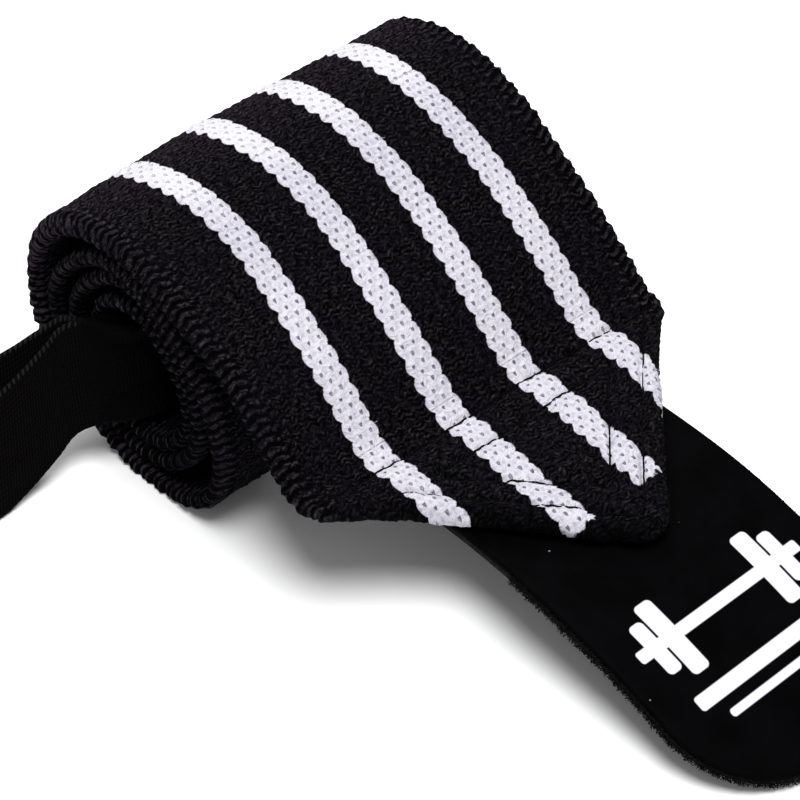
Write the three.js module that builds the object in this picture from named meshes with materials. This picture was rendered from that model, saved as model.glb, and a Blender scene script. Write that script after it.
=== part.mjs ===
// A lifting wrist wrap, rolled up and laid down: a thick knitted elastic band in a loose spiral,
// its outer end draped off the roll and folded under into a point, a closing tab with a smooth face
// over hook tape sewn beneath the point, and a woven thumb loop sewn in at the band's inner end.
// Millimetres. +X runs from the roll towards the tab, +Y along the roll, away from the thumb loop,
// and +Z is up. The origin is on the surface that the wrap lies on, below the middle of the roll.
import * as THREE from "three";

// The elastic band.
const bandWidth = 76;
const bandThickness = 2.8;
const tailLength = 51.6; // from the crest of the roll to the stitched line across the band
const pressedThickness = 2.1; // one layer of the band where it is sewn flat
const flapSetback = 1; // from the stitched line to the cut edge of the folded corners
const foldSetback = 0.8; // from the stitched line to where the band starts to narrow
const tipOffset = 0.6; // the point's tip, from the band's middle
const tipRadius = 5;
const rollSag = 0.5; // how far the roll's underside is pressed flat
const telescope = 2; // how far the innermost layer has slid along the roll

// The closing tab.
const tabWidth = 44;
const tabOffset = 1.3; // the tab's middle, from the band's middle
const tabReach = 80; // from the stitched line to the tab's end
const tabSetback = 3.5; // from the stitched line to the tab's sewn end
const tabCornerRadius = 18.4;
const tabFaceThickness = 1;
const hookThickness = 1.4;

// The thumb loop.
const webbingWidth = 20;
const webbingThickness = 1.2;
const loopReach = 46; // how far the loop stands out of the roll's end
const loopOpening = 20; // the widest gap between its two strands, middle to middle

const seamGap = 0.3; // between pieces that are sewn together
const stepAlong = 3.2; // the usual length of a facet along a piece

// The roll is wound round the webbing of the thumb loop, which stands on edge inside it.
const coreRadius = webbingWidth / 2;

// The roll seen from its near end, one row for each eighth of a turn, clockwise from the left.
// core: the hollow's radius, as a share of coreRadius.
// gap1 to gap3: the air outside each layer in turn, as a share of bandThickness.
const rollShape = [
  { side: "left", core: 0.95, gap1: 0.96, gap2: 0.61, gap3: 0.7 },
  { side: "upper left", core: 1.01, gap1: 0.46, gap2: 0.43, gap3: 1.65 },
  { side: "top", core: 0.92, gap1: 0.93, gap2: 0.29, gap3: 0.6 },
  { side: "upper right", core: 0.78, gap1: 0.18, gap2: 0.89, gap3: 0.5 },
  { side: "right", core: 0.94, gap1: 0.18, gap2: 1.11, gap3: 0.5 },
  { side: "lower right", core: 1.18, gap1: 0.18, gap2: 1.61, gap3: 0.5 },
  { side: "bottom", core: 1.38, gap1: 0.18, gap2: 0.21, gap3: 0.5 },
  { side: "lower left", core: 1.38, gap1: 0.18, gap2: 0.2, gap3: 0.5 },
];
const eighths = rollShape.length;
const crest = 3 * eighths + 2; // the eighth at which the band leaves the roll, on top of the third turn
const bottom = 2 * eighths + 6; // the eighth that lies on the surface
const innerEnd = -0.25; // where the band begins, in eighths
const facetsPerEighth = 5;

// How the tail hangs off the roll. along: share of tailLength. fall: degrees below level.
// near, far: how far the two edges droop below the middle, as a share of bandThickness.
const tailFall = [
  { along: 0, fall: 11, near: 0.4, far: 0 },
  { along: 0.1, fall: 17.5, near: 0.32, far: 0 },
  { along: 0.19, fall: 23, near: 0.38, far: 0 },
  { along: 0.34, fall: 30.5, near: 0.2, far: 0 },
  { along: 0.5, fall: 37, near: -0.2, far: 0 },
  { along: 0.65, fall: 42, near: -0.3, far: 0 },
  { along: 0.8, fall: 45, near: -0.1, far: 0 },
  { along: 0.89, fall: 44, near: 0, far: 0 },
  { along: 0.94, fall: 33, near: -0.2, far: 0 },
  { along: 1, fall: 6, near: -0.8, far: 0 },
];

// How far the near edge droops on the roll. before: eighths of a turn before the crest.
const crestDroop = [
  { before: 0, near: 0.4 },
  { before: 1, near: 0.6 },
  { before: 1.6, near: 0.4 },
  { before: 2.2, near: 0 },
];

// How the stitched point and the tab lie past the stitched line. along: share of tabReach.
// near: how far the near edge stands above the middle, as a negative share of bandThickness.
const endFall = [
  { along: 0, fall: 6, near: -0.8 },
  { along: 0.02, fall: -2, near: -1 },
  { along: 0.08, fall: -2, near: -1.3 },
  { along: 0.2, fall: 0, near: -1.1 },
  { along: 0.32, fall: 3, near: -0.6 },
  { along: 0.4, fall: 6.5, near: -0.2 },
  { along: 0.49, fall: 11.5, near: 0 },
  { along: 0.62, fall: 16.5, near: 0 },
  { along: 0.77, fall: 21, near: 0 },
  { along: 0.9, fall: 23, near: 0 },
  { along: 1, fall: 23, near: 0 },
];

// The outline of the thumb loop seen along its webbing. out: how far out of the roll, as a share of
// loopReach, with the sewn ends inside the roll. open: the gap between strands, share of loopOpening.
const loopOutline = [
  { out: -0.24, open: 0.08 },
  { out: -0.1, open: 0.08 },
  { out: 0.02, open: 0.09 },
  { out: 0.09, open: 0.13 },
  { out: 0.17, open: 0.2 },
  { out: 0.27, open: 0.29 },
  { out: 0.4, open: 0.42 },
  { out: 0.56, open: 0.66 },
  { out: 0.72, open: 0.9 },
  { out: 0.86, open: 0.97 },
  { out: 0.96, open: 0.66 },
  { out: 1, open: 0 },
];

// How the thumb loop lies. out: as above. side and drop: the middle of the webbing, left of and below
// the roll's middle, in shares of webbingWidth. lean and tilt: how far its upper edge lies over to the
// left and back towards the roll, in degrees. cup: how far it is bent across, in degrees.
const loopLie = [
  { out: -0.24, side: 0.13, drop: 0.12, lean: 6, tilt: 0, cup: 100 },
  { out: -0.07, side: 0.15, drop: 0.13, lean: 6, tilt: 0, cup: 90 },
  { out: 0.02, side: 0.32, drop: 0.17, lean: 11, tilt: 2, cup: 40 },
  { out: 0.09, side: 0.54, drop: 0.27, lean: 12, tilt: 5, cup: 0 },
  { out: 0.17, side: 0.62, drop: 0.42, lean: 15, tilt: 9, cup: 0 },
  { out: 0.27, side: 0.69, drop: 0.58, lean: 20, tilt: 15, cup: 0 },
  { out: 0.4, side: 0.77, drop: 0.72, lean: 27, tilt: 22, cup: 0 },
  { out: 0.56, side: 0.88, drop: 0.74, lean: 24, tilt: 20, cup: 0 },
  { out: 0.72, side: 1.02, drop: 0.72, lean: 17, tilt: 14, cup: 0 },
  { out: 1, side: 1.3, drop: 0.7, lean: 10, tilt: 8, cup: 0 },
];

const radians = THREE.MathUtils.degToRad;

// A smooth curve through evenly spaced values, held level before the first and after the last.
function throughValues(values, at) {
  const last = values.length - 1;
  const i = Math.min(Math.max(Math.floor(at), 0), last - 1);
  const t = Math.min(Math.max(at - i, 0), 1);
  const v = (k) => values[Math.min(Math.max(k, 0), last)];
  const rise = (v(i + 1) - v(i - 1)) / 2;
  const nextRise = (v(i + 2) - v(i)) / 2;
  const bend = 3 * (v(i + 1) - v(i)) - 2 * rise - nextRise;
  const twist = 2 * (v(i) - v(i + 1)) + rise + nextRise;
  return v(i) + t * (rise + t * (bend + t * twist));
}

// A column of a table, read straight between its rows.
function readColumn(table, key, column, at) {
  const next = table.findIndex((row) => row[key] >= at);
  if (next === -1) return table[table.length - 1][column];
  if (next === 0) return table[0][column];
  const a = table[next - 1];
  const b = table[next];
  const share = (at - a[key]) / (b[key] - a[key]);
  return a[column] + share * (b[column] - a[column]);
}

// The outer radius of the roll at each eighth of a turn, from the inner end to the crest.
function rollRadii() {
  const radii = [];
  for (let k = 0; k <= crest; k += 1) {
    const row = rollShape[k % eighths];
    const below = [row.gap1, row.gap2, row.gap3].slice(0, Math.floor(k / eighths));
    const air = below.reduce((sum, gap) => sum + gap, 0) * bandThickness;
    radii.push(row.core * coreRadius + (below.length + 1) * bandThickness + air);
  }
  return radii;
}

const radii = rollRadii();
const rollHeight = radii[bottom] - rollSag; // the middle of the roll above the surface

// Stations along the band's outer face. Each has its place in the XZ plane, the direction into the
// cloth, its distance past the stitched line, and what sets its section.
function rollStations() {
  const stations = [];
  const count = Math.round((crest - innerEnd) * facetsPerEighth);
  for (let i = 0; i < count; i += 1) {
    const k = innerEnd + (i / count) * (crest - innerEnd);
    const angle = Math.PI - (k * 2 * Math.PI) / eighths;
    const radius = throughValues(radii, k);
    const outward = new THREE.Vector2(Math.cos(angle), Math.sin(angle));
    const lastTurn = Math.max(0, 1 - (crest - k) / eighths);
    const sides = readColumn(crestDroop, "before", "near", crest - k);
    stations.push({
      past: -Infinity,
      place: outward.clone().multiplyScalar(radius).add(new THREE.Vector2(0, rollHeight)),
      into: outward.clone().negate(),
      shift: telescope * Math.sqrt(Math.max(0, 1 - k / (crest - eighths))),
      near: sides * bandThickness * Math.min(1, 3 * lastTurn),
      far: 0,
    });
  }
  return stations;
}

// The direction of the band's outer face past the crest, in degrees below level.
function fallAt(past) {
  if (past < 0) return readColumn(tailFall, "along", "fall", 1 + past / tailLength);
  return readColumn(endFall, "along", "fall", past / tabReach);
}

// The face's path from the crest to the tab's end, in short steps.
function facePath() {
  const fine = 0.5;
  const steps = Math.round((tailLength + tabReach) / fine);
  const step = (tailLength + tabReach) / steps;
  const path = [];
  let x = 0;
  let z = rollHeight + radii[crest];
  for (let i = 0; i <= steps; i += 1) {
    const past = -tailLength + i * step;
    path.push({ past, x, z });
    const fall = radians(fallAt(past + step / 2));
    x += step * Math.cos(fall);
    z -= step * Math.sin(fall);
  }
  return path;
}

const facePoints = facePath();
const pointThickness = 2 * pressedThickness;
const tabDepth = pointThickness + seamGap; // from the band's face down to the tab's face
const hookDepth = tabDepth + tabFaceThickness + seamGap;
const tabBottom = hookDepth + hookThickness;

// The tab bends until the lower edge of its end lies on the surface.
const endPoint = facePoints[facePoints.length - 1];
const endDrop = endPoint.z - tabBottom * Math.cos(radians(fallAt(tabReach)));

function faceAt(past) {
  const t = ((past + tailLength) / (tailLength + tabReach)) * (facePoints.length - 1);
  const i = Math.min(Math.max(Math.floor(t), 0), facePoints.length - 2);
  const a = facePoints[i];
  const b = facePoints[i + 1];
  const freeShare = Math.max(0, past / tabReach);
  const x = a.x + (t - i) * (b.x - a.x);
  const z = a.z + (t - i) * (b.z - a.z) - endDrop * freeShare ** 2;
  return new THREE.Vector2(x, z);
}

function faceStation(past) {
  const small = 0.4;
  const before = faceAt(Math.max(past - small, -tailLength));
  const after = faceAt(Math.min(past + small, tabReach));
  const along = after.sub(before).normalize();
  const share = 1 + past / tailLength;
  const onTail = readColumn(tailFall, "along", "near", share);
  const nearDroop = past < 0 ? onTail : readColumn(endFall, "along", "near", past / tabReach);
  return {
    past,
    place: faceAt(past),
    into: new THREE.Vector2(along.y, -along.x),
    shift: 0,
    near: nearDroop * bandThickness,
    far: past < 0 ? readColumn(tailFall, "along", "far", share) * bandThickness : 0,
  };
}

// The band's near or far edge, side -1 or 1, past the stitched line: two folds at 45 degrees that
// meet in a round tip.
const tipCentre = foldSetback + bandWidth / 2 - Math.SQRT2 * tipRadius;
const tipEnd = tipCentre + tipRadius;

function edgeAt(past, side) {
  const folded = Math.max(0, past - foldSetback - side * tipOffset);
  const straight = side * (bandWidth / 2 - folded);
  if (past < tipCentre + tipRadius * Math.SQRT1_2) return straight;
  return tipOffset + side * Math.sqrt(Math.max(tipRadius ** 2 - (past - tipCentre) ** 2, 0));
}

function thicknessAt(past) {
  return past < flapSetback ? bandThickness : pointThickness;
}

// Closes a run of sections into one solid. A section is a list of columns across the piece, each with
// its upper and its lower point.
function solidFromSections(sections) {
  const columns = sections[0].length;
  const positions = [];
  const index = [];
  for (const section of sections) {
    for (const column of section) positions.push(...column.upper.toArray(), ...column.lower.toArray());
  }
  const upper = (s, c) => 2 * (s * columns + c);
  const lower = (s, c) => upper(s, c) + 1;
  const quad = (a, b, c, d) => index.push(a, b, c, a, c, d);
  for (let s = 0; s < sections.length - 1; s += 1) {
    for (let c = 0; c < columns - 1; c += 1) {
      quad(upper(s, c), upper(s + 1, c), upper(s + 1, c + 1), upper(s, c + 1));
      quad(lower(s, c), lower(s, c + 1), lower(s + 1, c + 1), lower(s + 1, c));
    }
    quad(upper(s, 0), lower(s, 0), lower(s + 1, 0), upper(s + 1, 0));
    const c = columns - 1;
    quad(upper(s, c), upper(s + 1, c), lower(s + 1, c), lower(s, c));
  }
  const last = sections.length - 1;
  for (let c = 0; c < columns - 1; c += 1) {
    quad(upper(0, c), upper(0, c + 1), lower(0, c + 1), lower(0, c));
    quad(upper(last, c), lower(last, c), lower(last, c + 1), upper(last, c + 1));
  }
  const geometry = new THREE.BufferGeometry();
  geometry.setAttribute("position", new THREE.Float32BufferAttribute(positions, 3));
  geometry.setIndex(index);
  geometry.computeVertexNormals();
  return geometry;
}

// A section of a flat piece across Y at a station: its face starts at depth, it is thick, and its
// edges are eased over edge millimetres. Nothing reaches below the surface that the wrap lies on.
function flatSection(station, left, right, depth, thick, edge) {
  const middle = (left + right) / 2;
  const ease = Math.min(edge, (right - left) / 5);
  const columns = [
    { y: left, easing: 0.36 },
    { y: left + ease * 0.3, easing: 0.13 },
    { y: left + ease, easing: 0 },
    { y: (left + ease + middle) / 2, easing: 0 },
    { y: middle, easing: 0 },
    { y: (right - ease + middle) / 2, easing: 0 },
    { y: right - ease, easing: 0 },
    { y: right - ease * 0.3, easing: 0.13 },
    { y: right, easing: 0.36 },
  ];
  const place = (y, into) => {
    const outerHalf = Math.max(0, Math.abs(y) / (bandWidth / 2) - 0.1) / 0.9;
    const droop = (y < 0 ? station.near : station.far) * outerHalf ** 1.5;
    const p = station.into.clone().multiplyScalar(into + droop).add(station.place);
    return new THREE.Vector3(p.x, y + station.shift, Math.max(p.y, 0));
  };
  return columns.map(({ y, easing }) => ({
    upper: place(y, depth + easing * thick),
    lower: place(y, depth + (1 - easing) * thick),
  }));
}

// Places between two ends, about stepAlong apart.
function evenly(from, to, step = stepAlong) {
  const count = Math.max(1, Math.ceil((to - from) / step));
  return Array.from({ length: count + 1 }, (_, i) => from + ((to - from) * i) / count);
}

// Places round a quarter circle that ends at end, closer together towards the end.
function roundedEnd(end, radius, facets) {
  const turn = (i) => (i / facets) * (Math.PI / 2) * 0.97;
  return Array.from({ length: facets }, (_, i) => end - radius + radius * Math.sin(turn(i + 1)));
}

function elasticBand() {
  const step = 0.2; // the folded corners start on a steep step under the band
  const pastLine = [
    ...evenly(-tailLength, -stepAlong),
    ...evenly(-stepAlong, flapSetback - step, stepAlong / 2).slice(1),
    flapSetback,
    ...evenly(foldSetback + tipOffset, tipCentre + tipRadius * Math.SQRT1_2),
    ...roundedEnd(tipEnd, tipRadius, 6).filter((past) => past > tipCentre + tipRadius * Math.SQRT1_2),
  ];
  const stations = [...rollStations(), ...pastLine.map(faceStation)];
  const sections = stations.map((station) => {
    const thick = thicknessAt(station.past);
    return flatSection(station, edgeAt(station.past, -1), edgeAt(station.past, 1), 0, thick, thick * 0.35);
  });
  return solidFromSections(sections);
}

// Half the tab's width, rounded at its free end.
function tabHalfWidthAt(past) {
  const round = past - (tabReach - tabCornerRadius);
  if (round <= 0) return tabWidth / 2;
  return tabWidth / 2 - tabCornerRadius + Math.sqrt(Math.max(tabCornerRadius ** 2 - round ** 2, 0));
}

function tabLayer(depth, thick) {
  const places = [
    ...evenly(tabSetback, tabReach - tabCornerRadius),
    ...roundedEnd(tabReach, tabCornerRadius, 9),
  ];
  const sections = places.map((past) => {
    const half = tabHalfWidthAt(past);
    const station = faceStation(past);
    return flatSection(station, tabOffset - half, tabOffset + half, depth, thick, thick * 0.4);
  });
  return solidFromSections(sections);
}

// The middle line of the thumb loop and the direction up its webbing, at a place out of the roll.
function loopMiddle(out) {
  const read = (column) => readColumn(loopLie, "out", column, out);
  const height = rollHeight - read("drop") * webbingWidth;
  return new THREE.Vector3(-read("side") * webbingWidth, -bandWidth / 2 - out * loopReach, height);
}

function loopUpward(out) {
  const lean = radians(readColumn(loopLie, "out", "lean", out));
  const tilt = radians(readColumn(loopLie, "out", "tilt", out));
  return new THREE.Vector3(-Math.tan(lean), Math.tan(tilt), 1).normalize();
}

// One corner of the loop's outline: the middle of the webbing on one strand.
function loopCorner({ out, open }, strand) {
  const small = 0.02;
  const along = loopMiddle(out + small).sub(loopMiddle(out - small)).setZ(0).normalize();
  const across = new THREE.Vector3(-along.y, along.x, 0);
  return loopMiddle(out).addScaledVector(across, (strand * open * loopOpening) / 2);
}

function thumbLoop() {
  const nearStrand = loopOutline.map((row) => ({ row, strand: 1 }));
  const farStrand = loopOutline.slice(0, -1).map((row) => ({ row, strand: -1 }));
  const corners = [...nearStrand, ...farStrand.reverse()];
  const curveOf = (points) => new THREE.CatmullRomCurve3(points, false, "centripetal");
  const middle = curveOf(corners.map(({ row, strand }) => loopCorner(row, strand)));
  const outs = corners.map(({ row }) => row.out);
  const sections = [];
  const spans = corners.length - 1;
  const perSpan = 3;
  for (let i = 0; i <= spans * perSpan; i += 1) {
    const t = i / (spans * perSpan);
    const out = throughValues(outs, t * spans);
    sections.push(webbingSection(middle.getPoint(t), middle.getTangent(t), out));
  }
  return solidFromSections(sections);
}

// A section of the webbing, bent across by its cup, with its lowest edge on the surface at most.
function webbingSection(centre, along, out) {
  const upward = loopUpward(out);
  const facing = new THREE.Vector3().crossVectors(along, upward).normalize();
  const cup = radians(Math.max(readColumn(loopLie, "out", "cup", out), 1));
  const clearance = 0.2; // the loop's lower edge just clears the surface
  const shares = [-0.5, -0.3, 0, 0.3, 0.5];
  const bent = shares.map((share) => {
    const turn = cup * share;
    const up = (webbingWidth * Math.sin(turn)) / cup;
    const off = (webbingWidth * (1 - Math.cos(turn))) / cup;
    return { up, off, turn };
  });
  const place = ({ up, off, turn }, outward) => {
    const along = up - outward * Math.sin(turn);
    const away = off + outward * Math.cos(turn);
    return centre.clone().addScaledVector(upward, along).addScaledVector(facing, away);
  };
  const section = bent.map((column) => ({
    upper: place(column, webbingThickness / 2),
    lower: place(column, -webbingThickness / 2),
  }));
  const lowest = Math.min(...section.flatMap(({ upper, lower }) => [upper.z, lower.z]));
  const lift = Math.max(0, clearance - lowest);
  for (const { upper, lower } of section) {
    upper.z += lift;
    lower.z += lift;
  }
  return section;
}

function piece(name, geometry, color, roughness) {
  const material = new THREE.MeshStandardMaterial({ color, roughness, metalness: 0 });
  const mesh = new THREE.Mesh(geometry, material);
  mesh.name = name;
  return mesh;
}

const wristWrap = new THREE.Group();
wristWrap.add(piece("elastic_band", elasticBand(), 0x121214, 0.95));
wristWrap.add(piece("tab_face", tabLayer(tabDepth, tabFaceThickness), 0x08080a, 0.6));
wristWrap.add(piece("tab_hook", tabLayer(hookDepth, hookThickness), 0x0c0c0d, 0.8));
wristWrap.add(piece("thumb_loop", thumbLoop(), 0x171417, 0.85));

export default wristWrap;
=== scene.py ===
"""A rolled wrist wrap lying on a pale floor: a knitted elastic band with white stripes, its stitched
point, a closing tab with hook tape beneath, and a woven thumb loop. Shapes are worked out in
millimetres in the model's own frame and handed to Blender in metres."""
import math

import bpy
import numpy as np
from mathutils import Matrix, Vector


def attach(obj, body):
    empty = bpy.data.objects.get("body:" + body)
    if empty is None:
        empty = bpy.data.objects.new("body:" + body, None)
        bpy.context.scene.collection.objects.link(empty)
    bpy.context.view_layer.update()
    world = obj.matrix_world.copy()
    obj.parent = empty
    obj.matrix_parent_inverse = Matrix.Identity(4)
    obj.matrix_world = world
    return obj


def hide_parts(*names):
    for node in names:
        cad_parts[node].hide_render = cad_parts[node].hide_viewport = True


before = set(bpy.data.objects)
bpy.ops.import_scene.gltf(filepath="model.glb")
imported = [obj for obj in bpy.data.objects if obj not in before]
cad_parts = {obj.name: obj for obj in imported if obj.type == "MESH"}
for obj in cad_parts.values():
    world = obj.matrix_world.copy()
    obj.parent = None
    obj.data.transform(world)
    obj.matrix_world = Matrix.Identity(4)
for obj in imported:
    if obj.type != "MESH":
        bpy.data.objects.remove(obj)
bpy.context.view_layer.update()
rng = np.random.default_rng(7)

MM = 0.001
BAND_WIDTH = 76.0
BAND = 2.8
TAIL = 51.6
PRESSED = 2.1
FLAP_SETBACK = 1.0
FOLD_SETBACK = 0.8
TIP_OFFSET = 0.6
TIP_RADIUS = 5.0
ROLL_SAG = 0.5
TELESCOPE = 2.0
TAB_WIDTH = 44.0
TAB_OFFSET = 1.3
TAB_REACH = 80.0
TAB_SETBACK = 3.5
TAB_CORNER = 18.4
FACE = 1.0
HOOK = 1.4
WEBBING_WIDTH = 20.0
WEBBING = 1.2
LOOP_REACH = 46.0
LOOP_OPENING = 20.0
SEAM = 0.3
FACE_DEPTH = 2 * PRESSED + SEAM
HOOK_DEPTH = 2 * PRESSED + 2 * SEAM + FACE

# The camera's focal length and the picture's width, in pixels.
FOCAL_PIXELS = 2901
FRAME_PIXELS = 800

# How many loose ends of yarn there are, and how many hooks along the tab's rim.
FIBRES = 2600
HOOK_PLACES = 1000
HOOKS_A_PLACE = 2

# The knit's layout, in millimetres on the flat band.
COURSE = 3.27
STRIPE_PITCH = 15.17
WALE = STRIPE_PITCH / 14
STRIPES = [-21.4 + STRIPE_PITCH * k for k in range(4)]
WHITE_ENDS = 29.0

# How far from the stripes' middle white can lie, and the distance that stands for no stripe.
STRIPED_HALF = 29.0
PLAIN = 9.0

# Where across the band its corded selvedge sets in, and the crease between its slanting cords.
SELVEDGE = (33.0, 36.0)
SELVEDGE_CREASE = 38.6
SELVEDGE_CORD = 1.7

# The roll's hollow and the air outside each layer, for each eighth of a turn, clockwise from the left.
ROLL_CORE = [0.95, 1.01, 0.92, 0.78, 0.94, 1.18, 1.38, 1.38]
ROLL_GAPS = [
    [0.96, 0.46, 0.93, 0.18, 0.18, 0.18, 0.18, 0.18],
    [0.61, 0.43, 0.29, 0.89, 1.11, 1.61, 0.21, 0.2],
    [0.7, 1.65, 0.6, 0.5, 0.5, 0.5, 0.5, 0.5],
]
EIGHTHS = 8
CREST = 26
INNER_END = -0.25

# Share of the tail, degrees below level, droop of the near edge.
TAIL_FALL = np.array([
    (0, 11, 0.4), (0.1, 17.5, 0.32), (0.19, 23, 0.38), (0.34, 30.5, 0.2), (0.5, 37, -0.2),
    (0.65, 42, -0.3), (0.8, 45, -0.1), (0.89, 44, 0), (0.94, 33, -0.2), (1, 6, -0.8),
])
END_FALL = np.array([
    (0, 6, -0.8), (0.02, -2, -1), (0.08, -2, -1.3), (0.2, 0, -1.1), (0.32, 3, -0.6), (0.4, 6.5, -0.2),
    (0.49, 11.5, 0), (0.62, 16.5, 0), (0.77, 21, 0), (0.9, 23, 0), (1, 23, 0),
])
CREST_DROOP = np.array([(0, 0.4), (1, 0.6), (1.6, 0.4), (2.2, 0)])

# The thumb loop's outline and how it lies, as in the model.
LOOP_OUTLINE = np.array([
    (-0.24, 0.08), (-0.1, 0.08), (0.02, 0.09), (0.09, 0.13), (0.17, 0.2), (0.27, 0.29), (0.4, 0.42),
    (0.56, 0.66), (0.72, 0.9), (0.86, 0.97), (0.96, 0.66), (1, 0),
])
LOOP_LIE = np.array([
    (-0.24, 0.13, 0.12, 6, 0, 100), (-0.07, 0.15, 0.13, 6, 0, 90), (0.02, 0.32, 0.17, 11, 2, 40),
    (0.09, 0.54, 0.27, 12, 5, 0), (0.17, 0.62, 0.42, 15, 9, 0), (0.27, 0.69, 0.58, 20, 15, 0),
    (0.4, 0.77, 0.72, 27, 22, 0), (0.56, 0.88, 0.74, 24, 20, 0), (0.72, 1.02, 0.72, 17, 14, 0),
    (1, 1.3, 0.7, 10, 8, 0),
])

# How the stripes stray from straight lines: place along, then the outermost near and far stripe.
STRAY = np.array([
    (-130, 0, 0.3), (-75, -0.5, 0.3), (-64, -0.85, -0.4), (-50, 0.1, -0.9), (-41, 0.45, -0.6),
    (-25, -0.55, -0.25), (-8, -0.75, 0.1), (5, -0.8, 0.1), (11, -1.9, -0.5), (17, -2.5, -1.1),
    (29, -2.6, -2.4), (38, -2.6, -2.6),
])

# How far the band's edges stray outwards, near and far, by the place along.
EDGE_DRIFT = np.array([
    (-95, 0, 0), (-75, 0, 0.3), (-57, 0, 0.35), (-47, 0, 0.2), (-36, 0, 0), (-28, 0, -0.2), (-22, 0, 0),
    (-14, 0, 0.4), (-6, 0, 0.7), (0, 0, 0.2), (5, -0.3, -0.5), (10, -1.0, -0.9), (17, -1.2, -0.9),
    (24, -0.8, -0.6), (30, 0, -0.4), (36, 0, 0),
])

# The line across the band, and the gabled outlines of the outer and the inner row of stitches, each
# as (along, across) corners.
ACROSS_LINE = [(-0.2, -37.0), (0.1, -20.0), (-0.3, 0.0), (0.0, 15.0), (1.0, 36.8)]
OUTER_ROW = [(0.3, -31.4), (8.8, -22.6), (20.0, -12.2), (33.6, 0.4), (22.0, 11.9), (0.6, 34.6)]
INNER_ROW = [(6.3, -18.9), (25.9, 0.7), (6.2, 20.4), (6.3, -18.9)]


def smooth(lo, hi, x):
    """A soft step from 0 at lo to 1 at hi."""
    t = np.clip((x - lo) / (hi - lo), 0, 1)
    return t * t * (3 - 2 * t)


def through_values(values, at):
    """A smooth curve through evenly spaced values, as in the model."""
    values = np.asarray(values, float)
    last = len(values) - 1
    i = np.clip(np.floor(at).astype(int), 0, last - 1)
    t = np.clip(at - i, 0, 1)

    def v(k):
        return values[np.clip(k, 0, last)]

    rise = (v(i + 1) - v(i - 1)) / 2
    next_rise = (v(i + 2) - v(i)) / 2
    bend = 3 * (v(i + 1) - v(i)) - 2 * rise - next_rise
    twist = 2 * (v(i) - v(i + 1)) + rise + next_rise
    return v(i) + t * (rise + t * (bend + t * twist))


def roll_radii():
    """The outer face's distance from the roll's middle at each eighth of a turn, up to the crest."""
    radii = []
    for k in range(CREST + 1):
        below = k // EIGHTHS
        air = sum(ROLL_GAPS[g][k % EIGHTHS] for g in range(below)) * BAND
        radii.append(ROLL_CORE[k % EIGHTHS] * WEBBING_WIDTH / 2 + (below + 1) * BAND + air)
    return radii


RADII = roll_radii()
ROLL_HEIGHT = RADII[2 * EIGHTHS + 6] - ROLL_SAG


def face_path():
    """The band's outer face as one table over s, the distance past the stitched line: place, the
    direction into the cloth, the slide along the roll and the droop of the near edge."""
    k = np.linspace(INNER_END, CREST, 1400, endpoint=False)
    angle = math.pi - k * 2 * math.pi / EIGHTHS
    radius = through_values(RADII, k)
    x, z = np.cos(angle) * radius, np.sin(angle) * radius + ROLL_HEIGHT
    slide = TELESCOPE * np.sqrt(np.maximum(0, 1 - k / (CREST - EIGHTHS)))
    last_turn = np.clip(3 * (1 - (CREST - k) / EIGHTHS), 0, 1)
    near = np.interp(CREST - k, CREST_DROOP[:, 0], CREST_DROOP[:, 1]) * last_turn
    step = 0.25
    s = np.arange(-TAIL, TAB_REACH + 1e-6, step)
    mid = s[:-1] + step / 2
    fall = np.radians(np.where(
        mid < 0, np.interp(1 + mid / TAIL, TAIL_FALL[:, 0], TAIL_FALL[:, 1]),
        np.interp(mid / TAB_REACH, END_FALL[:, 0], END_FALL[:, 1])))
    fx = np.concatenate([[0], np.cumsum(np.cos(fall) * step)])
    fz = ROLL_HEIGHT + RADII[CREST] - np.concatenate([[0], np.cumsum(np.sin(fall) * step)])
    bottom = HOOK_DEPTH + HOOK
    drop = fz[-1] - bottom * math.cos(math.radians(END_FALL[-1, 1]))
    fz = fz - drop * np.maximum(0, s / TAB_REACH) ** 2
    near_end = np.where(s < 0, np.interp(1 + s / TAIL, TAIL_FALL[:, 0], TAIL_FALL[:, 2]),
                        np.interp(s / TAB_REACH, END_FALL[:, 0], END_FALL[:, 2]))
    px, pz = np.concatenate([x, fx]), np.concatenate([z, fz])
    length = np.concatenate([[0], np.cumsum(np.hypot(np.diff(px), np.diff(pz)))])
    length -= np.interp(len(k), np.arange(len(px)), length) + TAIL
    wide = np.ones(9) / 9
    tx, tz = (np.convolve(np.pad(np.gradient(p), 4, "edge"), wide, "valid") for p in (px, pz))
    size = np.hypot(tx, tz)
    return {
        "s": length, "x": px, "z": pz, "ix": tz / size, "iz": -tx / size,
        "slide": np.concatenate([slide, np.zeros(len(s))]),
        "near": np.concatenate([near, near_end]) * BAND,
    }


PATH = face_path()
S_START = PATH["s"][0] + 0.05


def on_band(s, y, depth):
    """A point of the band: s along it, y across it, depth millimetres into the cloth from its face."""
    at = {key: np.interp(s, PATH["s"], PATH[key]) for key in ("x", "z", "ix", "iz", "slide", "near")}
    outer = np.maximum(0, np.abs(y) / (BAND_WIDTH / 2) - 0.1) / 0.9
    into = depth + np.where(y < 0, at["near"], 0) * np.clip(outer, 0, 1.1) ** 1.5
    size = np.hypot(at["ix"], at["iz"])
    x = at["x"] + at["ix"] / size * into
    z = at["z"] + at["iz"] / size * into
    return np.stack([x, y + at["slide"], z], -1)


# How far the knit stands above the model's smooth face, by the place along.
PROUD = np.array([
    (-140, 0), (-92, 0), (-82, 0.55), (-72, 0.85), (-62, 0.6), (-50, 0.4), (-35, 0.25), (0, 0.2),
])

# How far the cloth's rounding reaches in from a fold, as a share of half its thickness.
ROUNDNESS = 1.4

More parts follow.
